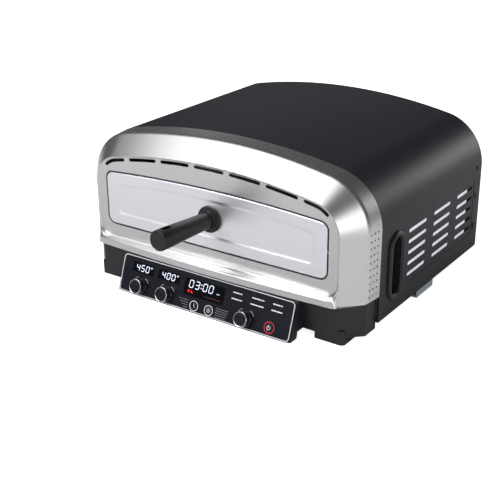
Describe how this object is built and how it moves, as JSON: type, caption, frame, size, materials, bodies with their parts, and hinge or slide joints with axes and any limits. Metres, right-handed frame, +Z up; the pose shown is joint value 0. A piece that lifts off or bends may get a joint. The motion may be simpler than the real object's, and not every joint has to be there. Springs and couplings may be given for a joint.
{
  "type": "electric pizza oven",
  "caption": "Countertop electric pizza oven with an arched black steel casing, brushed stainless front, lift-out steel door with a long handle and a sloping control panel.",
  "frame": {"origin": "middle of the oven's footprint, door handle included, on the table", "axes": "+X to the user's right, -Y out of the front, +Z up"},
  "size_m": [0.4884, 0.4996, 0.248],
  "materials": {
    "casing_paint": "satin powder coat",
    "stainless": "brushed",
    "door_steel": "fine satin",
    "aluminised_sheet": "dull rolled",
    "galvanised_sheet": "bright spangled",
    "pan_steel": "matt",
    "black_moulding": "fine grain",
    "panel_black": "gloss",
    "display_lens": "gloss smoked",
    "knob_black": "satin",
    "element_sheath": "heat tinted",
    "cordierite": "porous",
    "ceramic_wool": "fibrous",
    "board_laminate": "solder mask",
    "light_moulding": "moulded",
    "rubber": "matt",
    "fastener_steel": "zinc plated"
  },
  "bodies": {
    "oven": {"casing_shell": "casing_paint", "rear_panel": "casing_paint", "front_bezel": "stainless", "mouth_frame": "aluminised_sheet", "chamber_floor": "aluminised_sheet", "chamber_roof": "aluminised_sheet", "chamber_left": "aluminised_sheet", "chamber_right": "aluminised_sheet", "chamber_front": "aluminised_sheet", "chamber_back": "aluminised_sheet", "chamber_rails": "galvanised_sheet", "stone_ledges": "aluminised_sheet", "pizza_stone": "cordierite", "upper_element": "element_sheath", "lower_element": "element_sheath", "upper_straps": "galvanised_sheet", "lower_straps": "galvanised_sheet", "wool_over": "ceramic_wool", "wool_left": "ceramic_wool", "wool_right": "ceramic_wool", "wool_rear": "ceramic_wool", "wool_under": "ceramic_wool", "shield_left": "galvanised_sheet", "shield_right": "galvanised_sheet", "probe_upper": "fastener_steel", "probe_lower": "fastener_steel", "base_plinth": "black_moulding", "bottom_pan": "pan_steel", "front_pads": "rubber", "side_legs": "galvanised_sheet", "rear_feet": "rubber", "grip_left": "black_moulding", "grip_right": "black_moulding", "control_housing": "black_moulding", "control_panel": "panel_black", "panel_trim": "fastener_steel", "display_windows": "display_lens", "display_modules": "black_moulding", "control_board": "board_laminate", "encoders": "fastener_steel", "tact_switches": "black_moulding", "power_board": "board_laminate", "terminal_block": "light_moulding", "cord_gland": "black_moulding", "gland_nut": "black_moulding", "rear_screws": "fastener_steel"},
    "door": {"door_panel": "door_steel", "door_pan": "aluminised_sheet", "door_wool": "ceramic_wool", "door_catches": "fastener_steel", "handle_rosette": "black_moulding", "handle_bar": "black_moulding", "handle_stud": "fastener_steel"},
    "top_heat_knob": {"knob_top_heat": "knob_black"},
    "base_heat_knob": {"knob_base_heat": "knob_black"},
    "mode_knob": {"knob_mode": "knob_black"},
    "timer_button": {"button_timer": "panel_black"},
    "light_button": {"button_light": "panel_black"},
    "power_button": {"button_power": "panel_black"}
  },
  "joints": [
    {"name": "door_pull", "type": "slide", "parent": "oven", "child": "door", "axis": [0, -1, 0], "range_m": [0, 0.12]},
    {"name": "top_heat_turn", "type": "hinge", "parent": "oven", "child": "top_heat_knob", "pos_m": [-0.1127, -0.16728, 0.01787], "axis": [0, -0.9397, 0.342], "continuous": true},
    {"name": "base_heat_turn", "type": "hinge", "parent": "oven", "child": "base_heat_knob", "pos_m": [-0.0637, -0.16728, 0.01787], "axis": [0, -0.9397, 0.342], "continuous": true},
    {"name": "mode_turn", "type": "hinge", "parent": "oven", "child": "mode_knob", "pos_m": [0.077, -0.16728, 0.01787], "axis": [0, -0.9397, 0.342], "continuous": true},
    {"name": "timer_press", "type": "slide", "parent": "oven", "child": "timer_button", "axis": [0, 0.9397, -0.342], "range_m": [0, 0.0008], "stiffness_N_per_m": 800},
    {"name": "light_press", "type": "slide", "parent": "oven", "child": "light_button", "axis": [0, 0.9397, -0.342], "range_m": [0, 0.0008], "stiffness_N_per_m": 800},
    {"name": "power_press", "type": "slide", "parent": "oven", "child": "power_button", "axis": [0, 0.9397, -0.342], "range_m": [0, 0.0008], "stiffness_N_per_m": 800}
  ]
}
